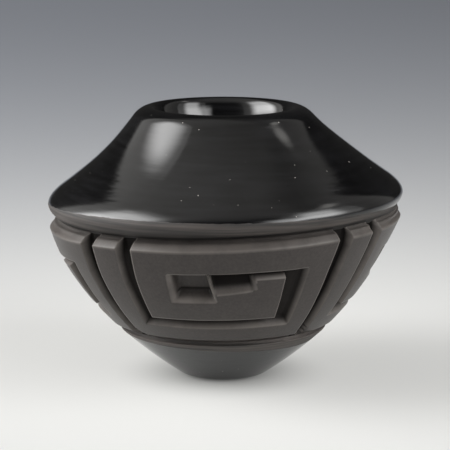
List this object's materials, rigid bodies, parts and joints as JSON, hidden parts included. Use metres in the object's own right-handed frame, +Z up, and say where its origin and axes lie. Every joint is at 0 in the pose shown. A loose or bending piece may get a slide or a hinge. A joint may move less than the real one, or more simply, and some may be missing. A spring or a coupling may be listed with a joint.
{
  "type": "carved pottery bowl",
  "caption": "Hand-built black pottery bowl with a polished shoulder, a small round mouth and a carved matte squared-spiral fret round its widest part.",
  "frame": {"origin": "centre of the flat underside of the foot, on the surface that the bowl stands on", "axes": "+Z up along the bowl's axis; -Y is the front, towards the picture's camera; +X is to the right in the picture"},
  "size_m": [0.1404, 0.1404, 0.1076],
  "materials": {
    "polished_black_clay": "stone-polished, glossy",
    "matte_black_clay": "matte, carved"
  },
  "bodies": {
    "root": {"base_pat": "polished_black_clay", "lower_wall": "polished_black_clay", "carved_band": "matte_black_clay", "shoulder_edge": "polished_black_clay", "shoulder_wall": "polished_black_clay", "neck_wall": "polished_black_clay", "rim_lip": "polished_black_clay"}
  },
  "joints": []
}
